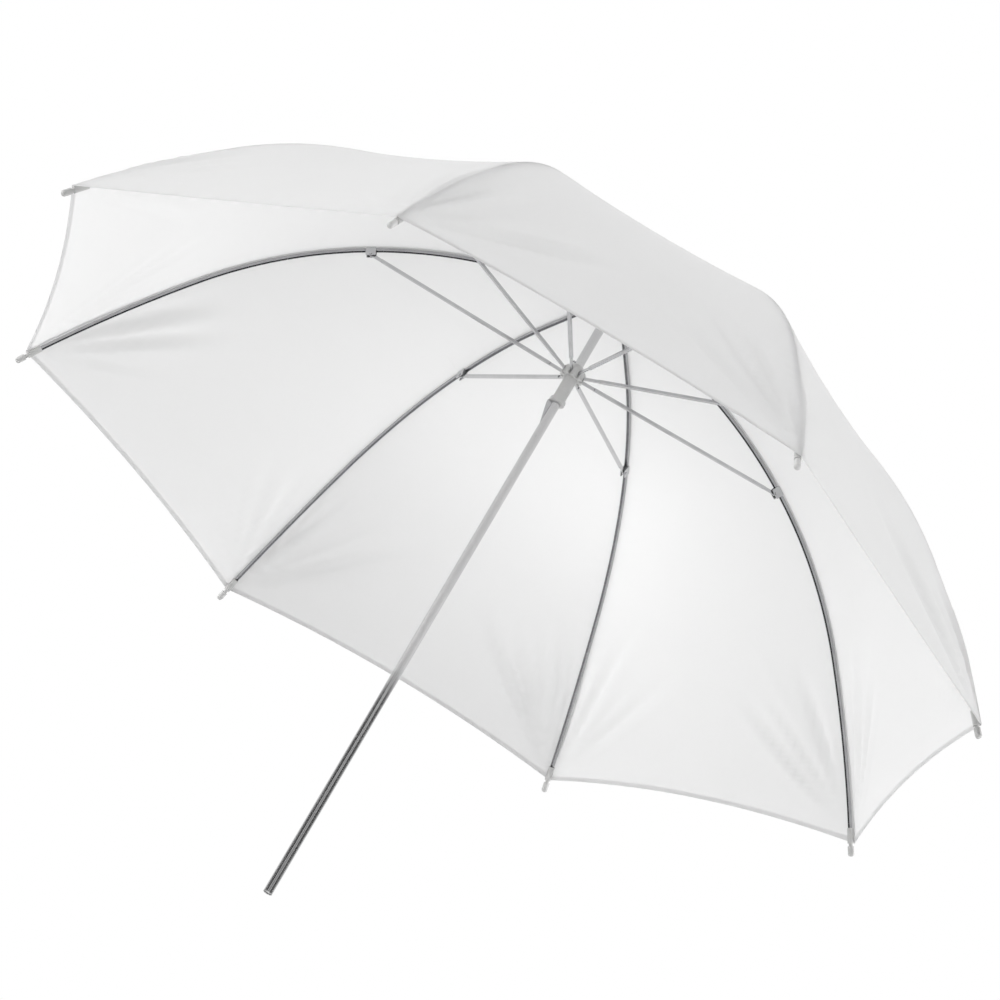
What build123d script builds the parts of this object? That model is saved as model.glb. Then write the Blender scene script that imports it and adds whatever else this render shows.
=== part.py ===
from build123d import *
import math
import os

# A shoot-through studio umbrella, open, standing on its shaft with the canopy up. The origin is the
# centre of the shaft's free end and +Z runs up the shaft to the canopy. Millimetres and degrees.

# Shaft
shaft_diameter = 8.0
shaft_wall = 0.6
shaft_length = 634.0
end_plug_depth = 12.0
end_plug_rim = 0.8
grip_length = 152.0
grip_groove_width = 0.8
grip_groove_depth = 0.25

# Ribs: each is a bent channel, hinged at its root to the notch. Each stretch is (length, bend).
rib_count = 8
rib_root_angle = 3.3
rib_root_blade = 12.0
rib_inner_stretches = ((96.0, 3.8), (118.0, 16.5))
rib_outer_stretches = ((152.0, 23.6), (161.0, 8.2))
rib_width = 3.2
rib_height = 2.6
rib_metal = 0.5
rib_joint_gap = 0.1
rib_eye_radius = 1.6
rib_blade = 1.4

# Notch, where the ribs turn, at the top of the shaft
notch_setback = 13.0
notch_core = 2.6
notch_floor_gap = 0.8
notch_rim = 1.5
notch_below = 4.5
notch_above = 2.8
notch_bevel = 0.5
ring_wire = 1.1
notch_pin_diameter = 1.5
notch_pin_drop = 2.6

# Runner, which slides on the shaft and carries the stretchers' inner ends
runner_drop = 85.0
runner_wall = 1.65
runner_length = 31.0
runner_collar = 9.0
runner_lip = 1.5
runner_lip_height = 3.5
crown_height = 8.0
crown_core = 3.5
crown_floor_gap = 0.2
crown_rim = 1.5

# Stretchers, flattened at both ends
stretcher_width = 3.0
stretcher_height = 2.4
stretcher_metal = 0.5
stretcher_blade = 1.6
stretcher_blade_height = 2.6
stretcher_inner_blade = 15.0
stretcher_outer_blade = 12.0
stretcher_eye_radius = 1.9
blade_overlap = 3.0

# Clevis that joins a stretcher to its rib
clevis_setback = 5.5
clevis_length = 9.0
clevis_metal = 0.8
clevis_gap = 1.2
clevis_skirt = 1.9
clevis_rounding = 0.95
rivet_diameter = 1.5
rivet_head_radius = 1.3
rivet_head_height = 0.5

# Rib tips
tip_wall = 0.7
tip_inner_length = 12.0
tip_outer_length = 13.0
tip_neck_diameter = 3.6
tip_neck_length = 2.5
tip_floor = 1.5
tip_flat = 0.6

# Canopy and the cap that holds it down
canopy_gap = 0.8
canopy_thickness = 0.4
canopy_seam_gap = 0.4
canopy_steps = 8
washer_rim = 1.5
washer_thickness = 1.0
ferrule_radius = 6.5
ferrule_height = 10.0
ferrule_rounding = 3.25
ferrule_depth_over_shaft = 0.2

# Stop pin above the runner and spring catch below it, both on the -X side
stop_pin_diameter = 1.8
stop_pin_reach = 2.2
stop_pin_gap = 3.0
catch_height = 22.4
catch_reach = 4.0
catch_plate = 1.6
catch_nose = 3.0
catch_rounding = 1.0
catch_inset = 2.8
catch_leg = 18.0
catch_leg_width = 2.6
catch_pin_diameter = 1.2
catch_pin_rise = 3.0

# Clearances
running = 0.08
sliding = 0.10
snug = 0.05
slot_side = 0.30
seat = 0.40
cut_margin = 2.0

shaft_radius = shaft_diameter / 2
bore_radius = shaft_radius - shaft_wall
notch_level = shaft_length - notch_setback
notch_slot_floor = shaft_radius + notch_core
rib_pivot_radius = notch_slot_floor + notch_floor_gap + rib_eye_radius
notch_radius = rib_pivot_radius + notch_rim
washer_radius = notch_radius + washer_rim
runner_level = notch_level - runner_drop
runner_sleeve_radius = shaft_radius + sliding + runner_wall
runner_lip_radius = runner_sleeve_radius + runner_lip
crown_slot_floor = shaft_radius + crown_core
stretcher_inner_radius = crown_slot_floor + crown_floor_gap + stretcher_blade_height / 2
crown_radius = stretcher_inner_radius + crown_rim
rib_stretches = ((rib_root_blade, 0.0),) + rib_inner_stretches + rib_outer_stretches
rib_inner_length = rib_root_blade + sum(length for length, bend in rib_inner_stretches)
rib_length = sum(length for length, bend in rib_stretches)
rib_angles = [360 / rib_count * (place + 0.5) for place in range(rib_count)]
clevis_station = rib_inner_length - clevis_setback
clevis_drop = rib_height / 2 + clevis_gap + stretcher_eye_radius
tip_bore_radius = math.hypot(rib_width, rib_height) / 2 + snug
tip_radius = tip_bore_radius + tip_wall
canopy_offset = tip_radius + canopy_gap
stop_pin_level = runner_level + runner_collar + stop_pin_gap
catch_top = runner_level - runner_length - seat
catch_pin_level = catch_top - catch_height - catch_leg + catch_pin_rise
catch_outer = shaft_radius + catch_reach
catch_inner = shaft_radius - catch_inset
catch_bottom = catch_top - catch_height - catch_leg
catch_leg_outer = catch_inner + catch_leg_width / 2
catch_leg_inner = catch_leg_outer - catch_leg_width
catch_leg_middle = (catch_leg_outer + catch_leg_inner) / 2


def along_rib(distance, rise=0.0):
    """The point at a distance along a rib and a rise above its centreline, and the slope there."""
    radius, level, slope = rib_pivot_radius, notch_level, math.radians(rib_root_angle)
    left = distance
    for length, bend in rib_stretches:
        part = min(left, length)
        turn = math.radians(bend) * part / length
        chord = part if turn == 0 else 2 * length / math.radians(bend) * math.sin(turn / 2)
        radius += chord * math.cos(slope + turn / 2)
        level -= chord * math.sin(slope + turn / 2)
        slope += turn
        left -= part
    return radius + rise * math.sin(slope), level + rise * math.cos(slope), slope


def section_plane(distance):
    """The plane across a rib at a distance from its pivot, with local y outwards."""
    radius, level, slope = along_rib(distance)
    return Plane(
        origin=(radius, 0, level),
        x_dir=(0, 1, 0),
        z_dir=(math.cos(slope), 0, -math.sin(slope)),
    )


def side_plane(distance, rise=0.0):
    """The plane of a rib's side at a point of it, with local x along the rib and y outwards."""
    radius, level, slope = along_rib(distance, rise)
    return Plane(
        origin=(radius, 0, level),
        x_dir=(math.cos(slope), 0, -math.sin(slope)),
        z_dir=(0, -1, 0),
    )


def save(piece, name):
    """Label a finished piece and write it to its own file."""
    piece.label = name
    export_step(piece, f"parts/{name}.step")


def save_round(piece, name):
    """Write one copy of a piece for each rib, numbered from the first rib."""
    for number, angle in enumerate(rib_angles, start=1):
        save(piece.rotate(Axis.Z, angle), f"{name}_{number}")


def channel_section(width, height, metal, open_side):
    """Draw a channel's section, open on the side that its hollow is aligned from."""
    edge = -height / 2 if open_side == Align.MIN else height / 2
    Rectangle(width, height)
    with Locations((0, edge)):
        Rectangle(
            width - 2 * metal,
            height - metal,
            align=(Align.CENTER, open_side),
            mode=Mode.SUBTRACT,
        )


def seam(angle, side):
    """The line over a rib that a gore is sewn along, half a seam to one side of the rib."""
    places = [rib_length * step / canopy_steps for step in range(canopy_steps + 1)]
    with BuildLine(Plane.XZ.offset(-side * canopy_seam_gap / 2)) as line:
        Spline(*[along_rib(place, canopy_offset)[:2] for place in places])
    return line.edge().rotate(Axis.Z, angle)


def bent_line(start, stretches):
    """Draw a rib's centreline from a distance along it, one tangent arc for each stretch."""
    distance = start
    for length, bend in stretches:
        radius, level, slope = along_rib(distance)
        JernArc(
            start=(radius, level),
            tangent=(math.cos(slope), -math.sin(slope)),
            radius=length / math.radians(bend),
            arc_size=-bend,
        )
        distance += length


clevis_pivot = along_rib(clevis_station, -clevis_drop)
stretcher_foot = Vector(stretcher_inner_radius, 0, runner_level)

os.makedirs("parts", exist_ok=True)

# Shaft: a thin steel tube with holes for its pins, a slot for the spring catch and a rolled groove
# that marks how far it goes into a clamp
with BuildPart() as shaft:
    with BuildSketch():
        Circle(shaft_radius)
        Circle(bore_radius, mode=Mode.SUBTRACT)
    extrude(amount=shaft_length)
    with BuildSketch(Plane.YZ.offset(-shaft_radius)):
        with Locations((0, catch_top - catch_height / 2)):
            Rectangle(catch_plate + 2 * slot_side, catch_height + 2 * catch_nose)
    extrude(amount=shaft_radius, mode=Mode.SUBTRACT)
    with BuildSketch(Plane.YZ):
        with Locations((0, stop_pin_level)):
            Circle(stop_pin_diameter / 2 + snug)
        with Locations((0, notch_level - notch_pin_drop)):
            Circle(notch_pin_diameter / 2 + snug)
    extrude(amount=shaft_diameter, both=True, mode=Mode.SUBTRACT)
    with BuildSketch(Plane.XZ):
        with Locations((-catch_leg_middle, catch_pin_level)):
            Circle(catch_pin_diameter / 2 + snug)
    extrude(amount=shaft_diameter, both=True, mode=Mode.SUBTRACT)
    with BuildSketch(Plane.XY.offset(grip_length)):
        Circle(shaft_radius + cut_margin)
        Circle(shaft_radius - grip_groove_depth, mode=Mode.SUBTRACT)
    extrude(amount=grip_groove_width, mode=Mode.SUBTRACT)
save(shaft.part, "shaft")

# End plug: closes the free end of the tube, with a low domed rim
with BuildPart() as shaft_end_plug:
    with BuildSketch(Plane.XY.offset(end_plug_rim)):
        Circle(bore_radius - snug)
    extrude(amount=end_plug_depth)
    fillet(shaft_end_plug.edges().group_by(Axis.Z)[0], end_plug_rim)
save(shaft_end_plug.part, "shaft_end_plug")

# Notch: the slotted head of the shaft, with a groove from above for the wire that the ribs turn on
with BuildPart() as notch:
    with BuildSketch(Plane.XY.offset(notch_level - notch_below)):
        Circle(notch_radius)
    extrude(amount=notch_below + notch_above)
    chamfer(notch.edges().group_by(Axis.Z)[0], notch_bevel)
    with BuildSketch(Plane.XY.offset(notch_level - ring_wire / 2 - snug)):
        Circle(rib_pivot_radius + ring_wire / 2 + snug)
        Circle(rib_pivot_radius - ring_wire / 2 - snug, mode=Mode.SUBTRACT)
    extrude(amount=notch_below + notch_above, mode=Mode.SUBTRACT)
    with BuildSketch(Plane.XY.offset(notch_level - notch_below)):
        with PolarLocations(notch_slot_floor, rib_count, start_angle=rib_angles[0]):
            Rectangle(notch_radius, rib_blade + 2 * slot_side, align=(Align.MIN, Align.CENTER))
    extrude(amount=notch_below + notch_above, mode=Mode.SUBTRACT)
    with BuildSketch(Plane.XY.offset(notch_level - notch_below)):
        Circle(shaft_radius + snug)
    extrude(amount=notch_below + notch_above, mode=Mode.SUBTRACT)
    with BuildSketch(Plane.YZ):
        with Locations((0, notch_level - notch_pin_drop)):
            Circle(notch_pin_diameter / 2 + snug)
    extrude(amount=notch_radius, both=True, mode=Mode.SUBTRACT)
save(notch.part, "notch")

# Notch ring: the wire through the eyes of all the ribs
with BuildPart() as notch_ring:
    with BuildSketch(Plane.XZ):
        with Locations((rib_pivot_radius, notch_level)):
            Circle(ring_wire / 2)
    revolve(axis=Axis.Z)
save(notch_ring.part, "notch_ring")

# Notch pin: holds the notch on the shaft
with BuildPart() as notch_pin:
    with BuildSketch(Plane.YZ.offset(-notch_radius + snug)):
        with Locations((0, notch_level - notch_pin_drop)):
            Circle(notch_pin_diameter / 2)
    extrude(amount=2 * (notch_radius - snug))
save(notch_pin.part, "notch_pin")

# Canopy washer and ferrule: clamp the canopy's centre on top of the notch
canopy_root_top = along_rib(0, canopy_offset + canopy_thickness)[1]
washer_level = canopy_root_top + seat
with BuildPart() as canopy_washer:
    with BuildSketch(Plane.XY.offset(washer_level)):
        Circle(washer_radius)
        Circle(shaft_radius + snug, mode=Mode.SUBTRACT)
    extrude(amount=washer_thickness)
    fillet(canopy_washer.edges().group_by(Axis.Z)[-1].sort_by(SortBy.RADIUS)[-1], seat)
save(canopy_washer.part, "canopy_washer")

ferrule_level = washer_level + washer_thickness
with BuildPart() as ferrule:
    with BuildSketch(Plane.XY.offset(ferrule_level)):
        Circle(ferrule_radius)
    extrude(amount=ferrule_height)
    fillet(ferrule.edges().group_by(Axis.Z)[-1], ferrule_rounding)
    with BuildSketch(Plane.XY.offset(ferrule_level)):
        Circle(shaft_radius + snug)
    extrude(amount=shaft_length + ferrule_depth_over_shaft - ferrule_level, mode=Mode.SUBTRACT)
save(ferrule.part, "ferrule")

# Runner: a slotted crown on a long sleeve, with a lip at its lower end that the catch holds up
with BuildPart() as runner:
    with BuildSketch(Plane.XY.offset(runner_level - runner_length)):
        Circle(runner_sleeve_radius)
    extrude(amount=runner_length + runner_collar)
    with BuildSketch(Plane.XY.offset(runner_level - runner_length)):
        Circle(runner_lip_radius)
    extrude(amount=runner_lip_height)
    with BuildSketch(Plane.XY.offset(runner_level - crown_height / 2)):
        Circle(crown_radius)
        with PolarLocations(crown_slot_floor, rib_count, start_angle=rib_angles[0]):
            Rectangle(
                crown_radius,
                stretcher_blade + 2 * slot_side,
                align=(Align.MIN, Align.CENTER),
                mode=Mode.SUBTRACT,
            )
    extrude(amount=crown_height)
    with BuildSketch(Plane.XY.offset(runner_level - runner_length)):
        Circle(shaft_radius + sliding)
    extrude(amount=runner_length + runner_collar, mode=Mode.SUBTRACT)
save(runner.part, "runner")

# Stop pin: a cross pin through the shaft that the runner meets at the top of its travel
with BuildPart() as stop_pin:
    with BuildSketch(Plane.YZ.offset(-shaft_radius - stop_pin_reach)):
        with Locations((0, stop_pin_level)):
            Circle(stop_pin_diameter / 2)
    extrude(amount=shaft_diameter + stop_pin_reach)
save(stop_pin.part, "stop_pin")

# Spring catch: a thin plate whose nose stands out of the shaft's slot under the runner
with BuildPart() as spring_catch:
    with BuildSketch(Plane.XZ) as catch_side:
        with BuildLine():
            Polyline(
                (-catch_inner, catch_top),
                (-catch_outer, catch_top),
                (-catch_outer, catch_top - catch_nose),
                (-shaft_radius, catch_top - catch_height),
                (-catch_leg_outer, catch_top - catch_height),
                (-catch_leg_outer, catch_bottom),
                (-catch_leg_inner, catch_bottom),
                (-catch_leg_inner, catch_top - catch_height),
                close=True,
            )
        make_face()
        fillet(catch_side.vertices().group_by(Axis.X)[0], catch_rounding)
    extrude(amount=catch_plate / 2, both=True)
    with BuildSketch(Plane.XZ):
        with Locations((-catch_leg_middle, catch_pin_level)):
            Circle(catch_pin_diameter / 2 + running)
    extrude(amount=catch_plate, both=True, mode=Mode.SUBTRACT)
save(spring_catch.part, "spring_catch")

# Catch pin: the cross pin in the shaft that the spring catch turns on
with BuildPart() as catch_pin:
    with BuildSketch(Plane.XZ):
        with Locations((-catch_leg_middle, catch_pin_level)):
            Circle(catch_pin_diameter / 2)
    extrude(amount=shaft_radius, both=True)
save(catch_pin.part, "catch_pin")

# Inner rib: a flat eyed blade in the notch, then a channel as far as the clevis
with BuildPart() as rib_inner:
    with BuildLine(Plane.XZ) as inner_line:
        bent_line(rib_root_blade, rib_inner_stretches)
    with BuildSketch(section_plane(rib_root_blade)):
        channel_section(rib_width, rib_height, rib_metal, Align.MIN)
    sweep(path=inner_line.line)
    with BuildSketch(side_plane(0)):
        Rectangle(rib_root_blade + blade_overlap, rib_height, align=(Align.MIN, Align.CENTER))
        Circle(rib_eye_radius)
    extrude(amount=rib_blade / 2, both=True)
    with BuildSketch(side_plane(0)):
        Circle(ring_wire / 2 + running)
    extrude(amount=rib_width, both=True, mode=Mode.SUBTRACT)
save_round(rib_inner.part, "rib_inner")

# Outer rib: the same channel from the clevis to the tip, a hair's gap from the inner rib
with BuildPart() as rib_outer:
    with BuildLine(Plane.XZ) as outer_line:
        bent_line(rib_inner_length, rib_outer_stretches)
    with BuildSketch(section_plane(rib_inner_length)):
        channel_section(rib_width, rib_height, rib_metal, Align.MIN)
    sweep(path=outer_line.line)
    with BuildSketch(section_plane(rib_inner_length)):
        Rectangle(rib_width + cut_margin, rib_height + cut_margin)
    extrude(amount=rib_joint_gap, mode=Mode.SUBTRACT)
save_round(rib_outer.part, "rib_outer")

# Rib tip: a moulded cap on the rib's end, with a neck that the canopy's corner is tied round
with BuildPart() as rib_tip:
    with BuildSketch(section_plane(rib_length).offset(-tip_inner_length)):
        Circle(tip_radius)
    extrude(amount=tip_inner_length + tip_floor)
    with BuildSketch(section_plane(rib_length).offset(tip_floor)):
        Circle(tip_neck_diameter / 2)
    extrude(amount=tip_neck_length)
    with BuildSketch(section_plane(rib_length).offset(tip_floor + tip_neck_length)):
        Circle(tip_radius)
    extrude(amount=tip_outer_length - tip_floor - tip_neck_length)
    fillet(rib_tip.edges().group_by(Axis.Z)[0], tip_radius - tip_flat)
    with BuildSketch(section_plane(rib_length).offset(-tip_inner_length)):
        Circle(tip_bore_radius)
    extrude(amount=tip_inner_length + snug, mode=Mode.SUBTRACT)
save_round(rib_tip.part, "rib_tip")

# Clevis: a folded strap over the rib, and the headed rivet through its ears and the stretcher's eye
rivet_reach = rib_width / 2 + 2 * snug + clevis_metal
with BuildPart() as rib_clevis:
    with BuildSketch(side_plane(clevis_station)) as clevis_side:
        with Locations((0, rib_height / 2 + snug + clevis_metal)):
            Rectangle(
                clevis_length,
                rib_height / 2 + snug + clevis_metal + clevis_drop + clevis_skirt,
                align=(Align.CENTER, Align.MAX),
            )
        fillet(clevis_side.vertices().group_by(Axis.Z)[0], clevis_rounding)
        with Locations((0, -clevis_drop)):
            Circle(rivet_diameter / 2 + snug, mode=Mode.SUBTRACT)
    extrude(amount=rib_width / 2 + snug + clevis_metal, both=True)
    with BuildSketch(side_plane(clevis_station)):
        with Locations((0, rib_height / 2 + snug)):
            Rectangle(
                clevis_length + cut_margin,
                rib_height + clevis_drop + clevis_skirt + cut_margin,
                align=(Align.CENTER, Align.MAX),
            )
    extrude(amount=rib_width / 2 + snug, both=True, mode=Mode.SUBTRACT)
    with BuildSketch(side_plane(clevis_station, -clevis_drop)):
        Circle(rivet_diameter / 2)
    extrude(amount=rivet_reach, both=True)
    for side in (rivet_reach, -rivet_reach - rivet_head_height):
        with BuildSketch(side_plane(clevis_station, -clevis_drop).offset(side)):
            Circle(rivet_head_radius)
        extrude(amount=rivet_head_height)
save_round(rib_clevis.part, "rib_clevis")

# Stretcher: a straight channel, open outwards, flattened at both ends; only the outer end has an eye
stretcher_run = Vector(clevis_pivot[0], 0, clevis_pivot[1]) - stretcher_foot
stretcher_side = Plane(origin=stretcher_foot, x_dir=stretcher_run, z_dir=(0, -1, 0))
stretcher_start = stretcher_foot + stretcher_run.normalized() * stretcher_inner_blade
with BuildPart() as stretcher:
    with BuildSketch(Plane(origin=stretcher_start, x_dir=(0, 1, 0), z_dir=stretcher_run)):
        channel_section(stretcher_width, stretcher_height, stretcher_metal, Align.MAX)
    extrude(amount=stretcher_run.length - stretcher_inner_blade - stretcher_outer_blade)
    with BuildSketch(stretcher_side):
        Circle(stretcher_blade_height / 2)
        Rectangle(
            stretcher_inner_blade + blade_overlap,
            stretcher_blade_height,
            align=(Align.MIN, Align.CENTER),
        )
        with Locations((stretcher_run.length, 0)):
            Circle(stretcher_eye_radius)
            Rectangle(
                stretcher_outer_blade + blade_overlap,
                stretcher_blade_height,
                align=(Align.MAX, Align.CENTER),
            )
            Circle(rivet_diameter / 2 + running, mode=Mode.SUBTRACT)
    extrude(amount=stretcher_blade / 2, both=True)
save_round(stretcher.part, "stretcher")

# Canopy: a ring of gores, each ruled from the seam over one rib to the seam over the next
for number, angle in enumerate(rib_angles, start=1):
    gore_face = Face.make_surface_from_curves(seam(angle, 1), seam(angle + 360 / rib_count, -1))
    outwards = Vector(1, 0, 1).rotate(Axis.Z, angle + 180 / rib_count)
    with BuildPart() as canopy_gore:
        thicken(gore_face, amount=canopy_thickness, normal_override=outwards)
    save(canopy_gore.part, f"canopy_gore_{number}")
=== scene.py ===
import math

import bpy
import numpy as np
from mathutils import Matrix, Vector


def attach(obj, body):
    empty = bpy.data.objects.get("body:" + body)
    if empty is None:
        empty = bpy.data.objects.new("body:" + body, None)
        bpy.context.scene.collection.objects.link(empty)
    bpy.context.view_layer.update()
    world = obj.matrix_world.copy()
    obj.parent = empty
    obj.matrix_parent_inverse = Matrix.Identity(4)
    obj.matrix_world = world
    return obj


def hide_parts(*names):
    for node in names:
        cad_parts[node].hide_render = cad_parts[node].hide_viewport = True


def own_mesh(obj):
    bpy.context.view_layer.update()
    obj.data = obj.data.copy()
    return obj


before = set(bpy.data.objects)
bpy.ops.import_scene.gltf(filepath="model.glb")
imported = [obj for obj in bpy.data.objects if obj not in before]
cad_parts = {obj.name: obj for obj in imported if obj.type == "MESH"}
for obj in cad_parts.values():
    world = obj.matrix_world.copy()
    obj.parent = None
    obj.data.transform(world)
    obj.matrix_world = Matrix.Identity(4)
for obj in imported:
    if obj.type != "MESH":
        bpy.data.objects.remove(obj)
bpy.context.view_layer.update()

scene = bpy.context.scene
scene.view_settings.view_transform = "Standard"


# Camera: low in front of the open side, looking up into the canopy, rolled so that the shaft leans.
# It has a long lens and no shift.
camera_place = Vector((-0.0175, -3.1582, -1.0045))
camera_right = Vector((0.86006, -0.21149, 0.46429))
camera_up = Vector((-0.51016, -0.34723, 0.78687))
camera_ahead = Vector((0.0052, 0.91362, 0.40653))

camera_data = bpy.data.cameras.new("camera")
camera_data.lens = 147.8
camera_data.sensor_width = 36.0
camera = bpy.data.objects.new("camera", camera_data)
scene.collection.objects.link(camera)
turned = Matrix((camera_right, camera_up, -camera_ahead)).transposed().to_4x4()
camera.matrix_world = Matrix.Translation(camera_place) @ turned
scene.camera = camera


# Shader arithmetic. A Wire is one output of a material's nodes: sums and products of Wires add Math
# nodes, and node() adds any other kind, with its settings first and then its sockets.
class Wire:
    def __init__(self, tree, end=None):
        self.tree = tree
        self.end = end

    def node(self, kind, settings=None, sockets=None, out=0):
        made = self.tree.nodes.new(kind)
        for name, value in (settings or {}).items():
            if name == "stops":
                ramp = made.color_ramp
                for place, (at, grey) in enumerate(value):
                    stop = ramp.elements[place] if place < 2 else ramp.elements.new(at)
                    stop.position = at
                    stop.color = (grey, grey, grey, 1.0)
            else:
                setattr(made, name, value)
        for name, value in (sockets or {}).items():
            if isinstance(value, Wire):
                self.tree.links.new(value.end, made.inputs[name])
            else:
                made.inputs[name].default_value = value
        return Wire(self.tree, made.outputs[out] if len(made.outputs) else None)

    def math(self, operation, *values):
        return self.node("ShaderNodeMath", {"operation": operation}, dict(enumerate(values)))

    def __add__(self, other):
        return self.math("ADD", self, other)

    def __sub__(self, other):
        return self.math("SUBTRACT", self, other)

    def __mul__(self, other):
        return self.math("MULTIPLY", self, other)

    def __radd__(self, other):
        return self.math("ADD", other, self)

    def __rsub__(self, other):
        return self.math("SUBTRACT", other, self)

    def __rmul__(self, other):
        return self.math("MULTIPLY", other, self)

    def __abs__(self):
        return self.math("ABSOLUTE", self)

    def below(self, limit):
        return self.math("LESS_THAN", self, limit)

    def sine(self):
        return self.math("SINE", self)

    def ramp(self, *stops):
        return self.node("ShaderNodeValToRGB", {"stops": stops}, {"Fac": self})

    def noise(self, size, detail=2.0, stretch=(1.0, 1.0, 1.0)):
        """Noise with features of a size in metres, longer along an axis where stretch is above 1."""
        scale = [1.0 / (size * along) for along in stretch]
        place = self.node("ShaderNodeMapping", {}, {"Vector": self, "Scale": scale})
        return self.node("ShaderNodeTexNoise", {}, {"Vector": place, "Scale": 1.0, "Detail": detail})

    def tint(self, low, high):
        """The colour that goes from low to high as this value goes from 0 to 1."""
        ends = {0: self, 6: (*low, 1.0), 7: (*high, 1.0)}
        return self.node("ShaderNodeMix", {"data_type": "RGBA"}, ends, out=2)

    def bump(self, height, strength, over=None):
        """A bumped normal, for a value from 0 to 1 that stands for so many metres, over other bumps."""
        sockets = {"Height": self, "Distance": height, "Strength": strength}
        if over is not None:
            sockets["Normal"] = over
        return self.node("ShaderNodeBump", {}, sockets)


def new_material(name):
    """A material, and a Wire on its empty tree."""
    material = bpy.data.materials.new(name)
    material.use_nodes = True
    material.node_tree.nodes.clear()
    return material, Wire(material.node_tree)


def surface(wire, shader):
    wire.node("ShaderNodeOutputMaterial", {}, {"Surface": shader})


def place_of(wire):
    return wire.node("ShaderNodeTexCoord", {}, {}, out="Object")


# Studio: a bright white sweep behind, narrow soft lights to the left and right, a weaker one above, a
# dim room in front with one strip of light near the camera, and a small lamp that glows through the
# canopy from behind. A pale painted floor lies well below.
floor_level = -1.3
floor_half = 60.0
even_light = 0.08
left_light = 5.1
right_light = 4.7
top_light = 0.36
glow_power = 1.0
glow_side = 0.16
side_edge = ((0.70, 0.0), (0.97, 1.0))
top_edge = ((0.45, 0.0), (0.95, 1.0))
room_ends = ((0.0, 0.25), (1.0, 1.0))
room_strip = ((0.150, 0.30), (0.160, 0.95), (0.172, 0.95), (0.184, 0.04))
room_sides = ((0.55, 0.07), (0.80, 0.85))

world = bpy.data.worlds.new("studio")
scene.world = world
world.use_nodes = True
world.node_tree.nodes.clear()
sky = Wire(world.node_tree)
heading = sky.node("ShaderNodeTexCoord", {}, {}, out="Generated")


def towards(x, y, z):
    """How much a heading in the room points along a direction, from -1 to 1."""
    dot = {"operation": "DOT_PRODUCT"}
    return sky.node("ShaderNodeVectorMath", dot, {0: heading, 1: (x, y, z)}, out="Value")


back = towards(0.0, 0.914, 0.406)
left_share = towards(-0.98, -0.12, 0.16).ramp(*side_edge)
right_share = towards(0.98, -0.12, 0.16).ramp(*side_edge)
top_share = towards(0.0, 0.25, 0.97).ramp(*top_edge)
soft_grey = even_light + left_share * left_light + right_share * right_light + top_share * top_light
mirror_grey = (back * 0.5 + 0.5).ramp(*room_ends, *room_strip, *room_sides)
colours = {"data_type": "RGBA"}
path = sky.tree.nodes.new("ShaderNodeLightPath")
seen = Wire(sky.tree, path.outputs["Is Camera Ray"])
glossy = Wire(sky.tree, path.outputs["Is Glossy Ray"])
lit = sky.node("ShaderNodeMix", colours, {0: glossy, 6: soft_grey, 7: mirror_grey}, out=2)
shown = sky.node("ShaderNodeMix", colours, {0: seen, 6: lit, 7: (1.0, 1.0, 1.0, 1.0)}, out=2)
sky.node("ShaderNodeOutputWorld", {}, {"Surface": sky.node("ShaderNodeBackground", {}, {"Color": shown})})


def soft_light(name, place, target, side, power):
    lamp = bpy.data.lights.new(name, "AREA")
    lamp.shape = "RECTANGLE"
    lamp.size = side
    lamp.size_y = side
    lamp.energy = power
    holder = bpy.data.objects.new(name, lamp)
    holder.location = place
    holder.rotation_euler = (Vector(target) - Vector(place)).to_track_quat("-Z", "Y").to_euler()
    holder.visible_camera = False
    holder.visible_glossy = False
    scene.collection.objects.link(holder)


soft_light("light_behind_canopy", (0.11, 0.47, 0.88), (0.075, 0.25, 0.56), glow_side, glow_power)

floor_mesh = bpy.data.meshes.new("floor")
floor_mesh.from_pydata(
    [(x * floor_half, y * floor_half, floor_level) for x, y in ((-1, -1), (1, -1), (1, 1), (-1, 1))],
    [],
    [(0, 1, 2, 3)],
)
floor = bpy.data.objects.new("floor", floor_mesh)
scene.collection.objects.link(floor)
floor_paint, wire = new_material("floor_paint")
mottle = place_of(wire).noise(0.8).tint((0.90, 0.90, 0.90), (0.93, 0.93, 0.93))
paint = {"Base Color": mottle, "Roughness": 0.7, "Specular IOR Level": 0.2}
surface(wire, wire.node("ShaderNodeBsdfPrincipled", {}, paint))
floor_mesh.materials.append(floor_paint)


def finish_nodes(material, *names):
    """Gives carried-over pieces a finish."""
    for name in names:
        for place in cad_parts[name].material_slots:
            place.material = material


# Shaft and ferrule: a drawn steel tube, chromed, and the chromed cap over its top. They carry faint
# drawing lines along their length and hairline rubs.
chrome, wire = new_material("chrome")
place = place_of(wire)
lines = place.noise(0.0007, 3.0, (1.0, 1.0, 400.0))
rubs = place.noise(0.004, 4.0, (1.0, 1.0, 12.0)).ramp((0.52, 0.0), (0.70, 1.0))
smudge = place.noise(0.05, 3.0)
gloss = 0.10 + smudge * 0.06 + rubs * 0.06
surface(
    wire,
    wire.node(
        "ShaderNodeBsdfPrincipled",
        {},
        {
            "Base Color": smudge.tint((0.60, 0.60, 0.61), (0.67, 0.67, 0.67)),
            "Metallic": 1.0,
            "Roughness": gloss,
            "Normal": lines.bump(0.00001, 0.4),
        },
    ),
)
finish_nodes(chrome, "shaft", "ferrule")


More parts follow.
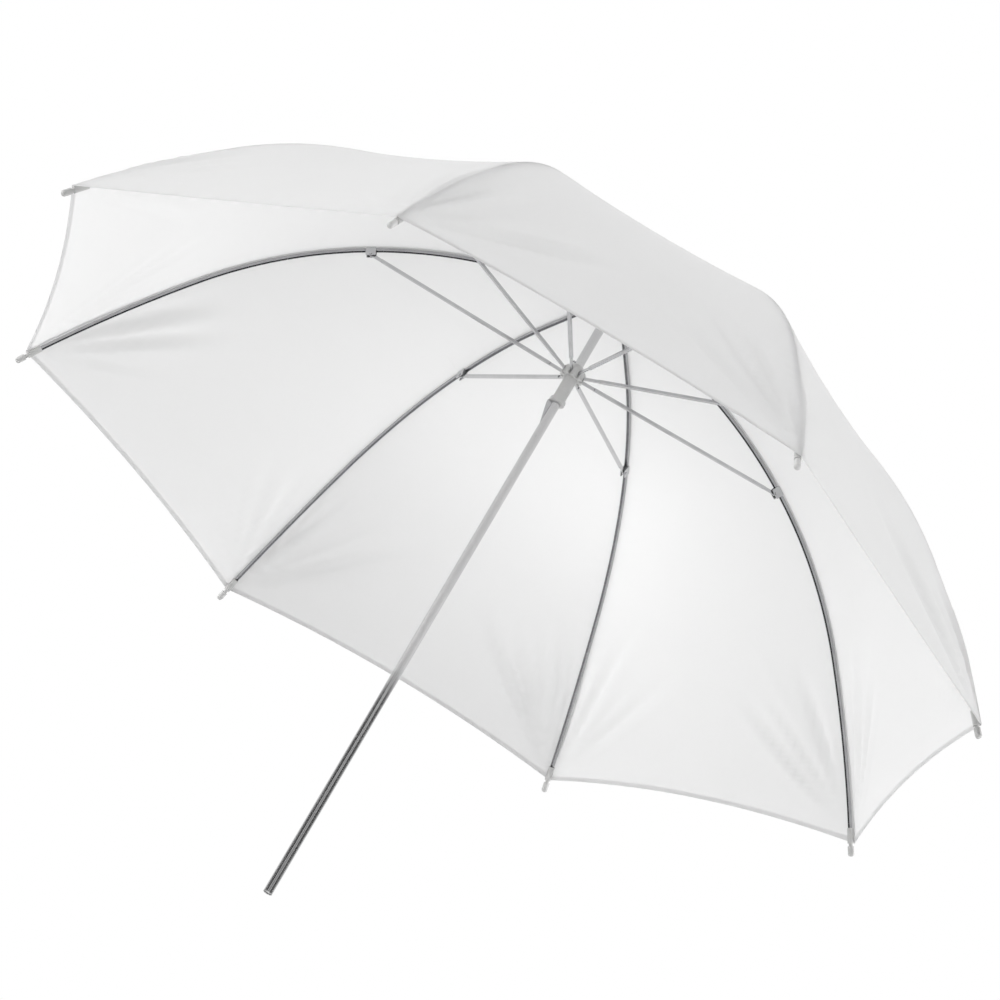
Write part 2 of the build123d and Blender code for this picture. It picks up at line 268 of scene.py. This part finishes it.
# Ribs, stretchers, clevises, catch, ring and pins: nickel-plated steel strip and wire, with a fine grain
# and small dull specks. The ribs get a darker copy of the same steel: painted shade for the shade in their
# channels.
def steel(name, dark, bright, rough):
    material, wire = new_material(name)
    place = place_of(wire)
    cloud = place.noise(0.012, 4.0)
    speck = place.noise(0.0012, 3.0).ramp((0.62, 0.0), (0.74, 1.0))
    grain = place.noise(0.0005, 2.0)
    surface(
        wire,
        wire.node(
            "ShaderNodeBsdfPrincipled",
            {},
            {
                "Base Color": cloud.tint(dark, bright),
                "Metallic": 1.0 - speck * 0.25,
                "Roughness": rough + cloud * 0.08 + speck * 0.12,
                "Normal": grain.bump(0.00002, 0.4),
            },
        ),
    )
    return material


# The darker rib copy is painted shade standing in for the shade inside the rib channels, not a different
# finish.
rib_steel = steel("rib_steel", (0.34, 0.34, 0.35), (0.46, 0.46, 0.47), 0.16)
clip_steel = steel("clip_steel", (0.46, 0.46, 0.47), (0.60, 0.60, 0.61), 0.14)
ribs = range(1, 9)
finish_nodes(rib_steel, *[f"rib_{part}_{i}" for i in ribs for part in ("inner", "outer")])
finish_nodes(clip_steel, *[f"{piece}_{i}" for i in ribs for piece in ("stretcher", "rib_clevis")])
finish_nodes(clip_steel, "notch_ring", "notch_pin", "stop_pin", "catch_pin", "spring_catch")


# Runner, notch, end plug, canopy washer and rib tips: injection-moulded pale grey plastic, a little
# cloudy, with a fine moulded grain and slight scuffs.
plastic, wire = new_material("plastic")
place = place_of(wire)
cloud = place.noise(0.006, 3.0)
grain = place.noise(0.0004, 2.0)
scuff = place.noise(0.0015, 4.0).ramp((0.60, 0.0), (0.72, 1.0))
surface(
    wire,
    wire.node(
        "ShaderNodeBsdfPrincipled",
        {},
        {
            "Base Color": (cloud * 0.6 + scuff * 0.4).tint((0.52, 0.52, 0.515), (0.60, 0.60, 0.595)),
            "Roughness": 0.34 + scuff * 0.15 + grain * 0.05,
            "Normal": grain.bump(0.00004, 0.5),
            "Subsurface Weight": 0.15,
            "Subsurface Radius": (0.004, 0.004, 0.004),
            "Subsurface Scale": 1.0,
        },
    ),
)
finish_nodes(plastic, "runner", "notch", "shaft_end_plug", "canopy_washer")
finish_nodes(plastic, *[f"rib_tip_{i}" for i in ribs])


# Canopy: eight gores of white translucent nylon, sewn to each other over the ribs, drawn taut, a little
# slack between the ribs and hollowed at the hem. Each piece here is the cloth either side of one rib,
# above or below the place where the rib flexes, so that it can fold with it. Millimetres and degrees.
millimetre = 0.001
rib_root_radius = 9.0
rib_root_level = 621.0
rib_root_slope = 3.3
rib_stretches = ((12.0, 0.0), (96.0, 3.8), (118.0, 16.5), (152.0, 23.6), (161.0, 8.2))
rib_length = sum(length for length, bend in rib_stretches)
flex_distance = sum(length for length, bend in rib_stretches[:3])
rib_turn = math.radians(45.0)
apex_distance = -3.5
hem_hollows = (12.0, 11.0, 7.0, 6.5, 10.0, 16.0, 10.0, 8.5)
hem_depth = 4.0
seam_half = 1.7
cloth_gap = 0.3
cloth_rise = 3.6
apex_rise = 0.3
apex_fade = (16.0, 60.0)
seam_start = 14.0
seam_share_most = 0.9
seam_columns = 9
column_crowding = 1.45
fold_count = 5
slack_places = (-10.0, 60.0, 170.0, 300.0, 400.0, 539.0)
slack_depths = (0.0, 0.3, 1.5, 4.5, 5.0, 4.0)
columns = 22
upper_rows = 48
lower_rows = 70


def step(value, low, high):
    """0 below low, 1 above high and smooth between."""
    share = np.clip((value - low) / (high - low), 0.0, 1.0)
    return share * share * (3.0 - 2.0 * share)


def hump(value, centre, half):
    return np.exp(-(((value - centre) / half) ** 2))


def seam_line(distance, rise):
    """Radius, level and slope of a line above a rib's centreline."""
    radius = np.full_like(distance, rib_root_radius)
    level = np.full_like(distance, rib_root_level)
    slope = np.full_like(distance, math.radians(rib_root_slope))
    start = 0.0
    for length, bend in rib_stretches:
        first = start == 0.0
        last = start + length >= rib_length
        part = np.clip(distance - start, -np.inf if first else 0.0, np.inf if last else length)
        curve = math.radians(bend) / length
        middle = slope + curve * part / 2
        radius = radius + part * np.cos(middle)
        level = level - part * np.sin(middle)
        slope = slope + curve * part
        start += length
    return radius + rise * np.sin(slope), level + rise * np.cos(slope), slope


def slack(distance):
    """How far the middle of a gore hangs inside the straight line between its seams."""
    fine = np.linspace(slack_places[0], slack_places[-1], 56)
    rough = np.interp(fine, slack_places, slack_depths)
    window = np.hanning(15)
    smooth = np.convolve(np.pad(rough, 6, mode="edge"), window[1:-1] / window.sum(), "valid")
    return np.interp(distance, fine, smooth)


def puckers(gore, share, distance, width):
    """Height of the small folds: fans of them at the two tips, and gathers along the seams."""
    height = np.zeros_like(distance)
    for side in (0, 1):
        tip = (gore + side) % 8
        draw = np.random.default_rng(100 + 10 * tip + side)
        across = width * (share if side == 0 else 1.0 - share)
        down = rib_length + 4.0 - distance
        reach = np.hypot(across, down)
        angle = np.degrees(np.arctan2(across, np.maximum(down, 0.01)))
        for fold in range(fold_count):
            at = 4.0 + 9.0 * fold + draw.uniform(-3.0, 3.0)
            spread = draw.uniform(2.2, 3.6)
            far = draw.uniform(90.0, 210.0)
            steep = draw.uniform(0.6, 1.1)
            body = steep * reach * math.radians(spread) * (1.0 - step(reach, far * 0.35, far))
            height += body * (hump(angle, at, spread) - 0.7 * hump(angle, at + 2.0 * spread, spread))
        wave = draw.uniform(11.0, 16.0)
        start = draw.uniform(0.0, 6.28)
        gather = np.sin(distance / wave * 6.283 + start + 0.9 * np.sin(distance / 47.0))
        near = step(across, 1.0, 5.0) * (1.0 - step(across, 8.0, 34.0))
        height += 0.25 * gather * near * step(distance, 20.0, 60.0)
    return height


def gore_cloth(gore, share, distance, inside):
    """Points of the gore between rib gore and the next, share of the way across, at distances along."""
    hollow = 4.0 * share * (1.0 - share)
    along = distance - hem_hollows[gore] * hollow * (distance / rib_length) ** 3
    width = 2.0 * seam_line(along, 0.0)[0] * math.sin(rib_turn / 2)
    radius, level, slope = seam_line(along, cloth_rise + apex_rise * (1.0 - step(along, *apex_fade)))
    first = (gore + 0.5) * rib_turn
    middle = first + rib_turn / 2
    x = (1.0 - share) * radius * math.cos(first) + share * radius * math.cos(first + rib_turn)
    y = (1.0 - share) * radius * math.sin(first) + share * radius * math.sin(first + rib_turn)
    lift = puckers(gore, share, along, width) - slack(along) * hollow - inside
    x = x + lift * np.sin(slope) * math.cos(middle)
    y = y + lift * np.sin(slope) * math.sin(middle)
    points = np.stack([x, y, level + lift * np.cos(slope)], axis=-1) * millimetre
    return points, width


def rib_cloth(rib, across, distance, inside):
    """The same, for cloth about one rib: across runs from -1 to 1 between the middles of its two gores."""
    share = np.abs(across) / 2
    after, width = gore_cloth(rib, share, distance, inside)
    before, width = gore_cloth((rib - 1) % 8, 1.0 - share, distance, inside)
    points = np.where((across >= 0)[..., None], after, before)
    on_rib = (across == 0)[..., None]
    return np.where(on_rib, (after + before) / 2, points), across / 2 * width * millimetre


class Cloth:
    """Gathers grids of points into one mesh, with how far each point is from its rib and along it."""

    def __init__(self):
        self.points = []
        self.faces = []
        self.across = []
        self.along = []

    def grid(self, points, across, along):
        rows, wide = points.shape[:2]
        start = len(self.points)
        self.points.extend(points.reshape(-1, 3).tolist())
        self.across.extend(across.ravel().tolist())
        self.along.extend((along * millimetre).ravel().tolist())
        for row in range(rows - 1):
            for column in range(wide - 1):
                corner = start + row * wide + column
                self.faces.append((corner, corner + 1, corner + wide + 1, corner + wide))

    def piece(self, name, material):
        mesh = bpy.data.meshes.new(name)
        mesh.from_pydata(self.points, [], self.faces)
        mesh.polygons.foreach_set("use_smooth", [True] * len(self.faces))
        for label, values in (("across", self.across), ("along", self.along)):
            mesh.attributes.new(label, "FLOAT", "POINT").data.foreach_set("value", values)
        mesh.materials.append(material)
        made = bpy.data.objects.new(name, mesh)
        scene.collection.objects.link(made)
        return made


nylon, wire = new_material("nylon")
thread_pitch = 0.0004
stitch_length = 0.0028
stitch_row = 0.0012
stitch_half_width = 0.00022
through_white = (0.82, 0.82, 0.82, 1.0)
across = wire.node("ShaderNodeAttribute", {"attribute_name": "across"}, {}, out="Fac")
along = wire.node("ShaderNodeAttribute", {"attribute_name": "along"}, {}, out="Fac")
place = place_of(wire)
warp = (across * (2 * math.pi / thread_pitch)).sine()
weft = (along * (2 * math.pi / thread_pitch)).sine()
weave = warp * weft * 0.5 + 0.5
cloud = place.noise(0.12, 3.0)
slub = place.noise(0.0016, 3.0, (1.0, 1.0, 9.0))
row_at = abs(abs(across) - stitch_row)
dash = (along * (2 * math.pi / stitch_length)).sine().ramp((0.35, 0.0), (0.55, 1.0))
stitches = row_at.below(stitch_half_width) * dash
crumple = place.noise(0.014, 4.0)
white = (cloud * 0.7 + slub * 0.3).tint((0.80, 0.80, 0.80), (0.84, 0.84, 0.84))
relief = weave.bump(0.00002, 0.3)
relief = crumple.bump(0.0004, 0.35, relief)
relief = stitches.bump(0.0002, 0.6, relief)
front = wire.node(
    "ShaderNodeBsdfPrincipled",
    {},
    {
        "Base Color": white,
        "Roughness": 0.55 + slub * 0.1,
        "Specular IOR Level": 0.25,
        "Sheen Weight": 0.15,
        "Sheen Roughness": 0.4,
        "Normal": relief,
    },
)
through = wire.node("ShaderNodeBsdfTranslucent", {}, {"Color": through_white, "Normal": relief})
surface(wire, wire.node("ShaderNodeMixShader", {}, {0: 0.5, 1: front, 2: through}))

spacing = np.linspace(-1.0, 1.0, 2 * columns + 1)
spacing = np.sign(spacing) * np.abs(spacing) ** column_crowding
for rib in range(8):
    name = f"_{rib + 1}"
    for part, body, first, last, rows in (
        ("upper", "rib_inner", apex_distance, flex_distance, upper_rows),
        ("lower", "rib_outer", flex_distance, rib_length, lower_rows),
    ):
        cloth = Cloth()
        distance = np.linspace(first, last, rows)
        inside = np.zeros(rows)
        if part == "lower":
            fold = np.array([rib_length + 0.12, rib_length, rib_length - 0.5, rib_length - hem_depth])
            distance = np.concatenate([distance, fold])
            inside = np.concatenate([inside, cloth_gap * np.array([0.5, 1.0, 1.0, 1.0])])
        across_grid, along_grid = np.meshgrid(spacing, distance)
        inside_grid = np.repeat(inside[:, None], len(spacing), axis=1)
        points, aside = rib_cloth(rib, across_grid, along_grid, inside_grid)
        cloth.grid(points, aside, along_grid)
        seam_first = max(first, seam_start)
        seam_last = min(last, rib_length - hem_depth)
        distance = np.linspace(seam_first, seam_last, rows)
        radius = seam_line(distance, 0.0)[0]
        half = np.minimum(seam_half / (radius * math.sin(rib_turn / 2)), seam_share_most)
        across_grid = np.linspace(-1.0, 1.0, seam_columns)[None, :] * half[:, None]
        along_grid = np.repeat(distance[:, None], seam_columns, axis=1)
        points, aside = rib_cloth(rib, across_grid, along_grid, np.full_like(along_grid, cloth_gap))
        cloth.grid(points, aside, along_grid)
        piece = cloth.piece("canopy_" + part + name, nylon)
        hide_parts("canopy_gore" + name)
        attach(piece, body + name)
        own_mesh(piece)
        reach = seam_line(np.array([last]), 0.0)[0][0]
        flat_width = 2.0 * reach * math.sin(rib_turn / 2) * millimetre
        flat_length = (last - first) * millimetre
        near = seam_line(np.array([first]), 0.0)[0][0]
        flat_area = flat_length * flat_width * (1.0 + near / reach) / 2
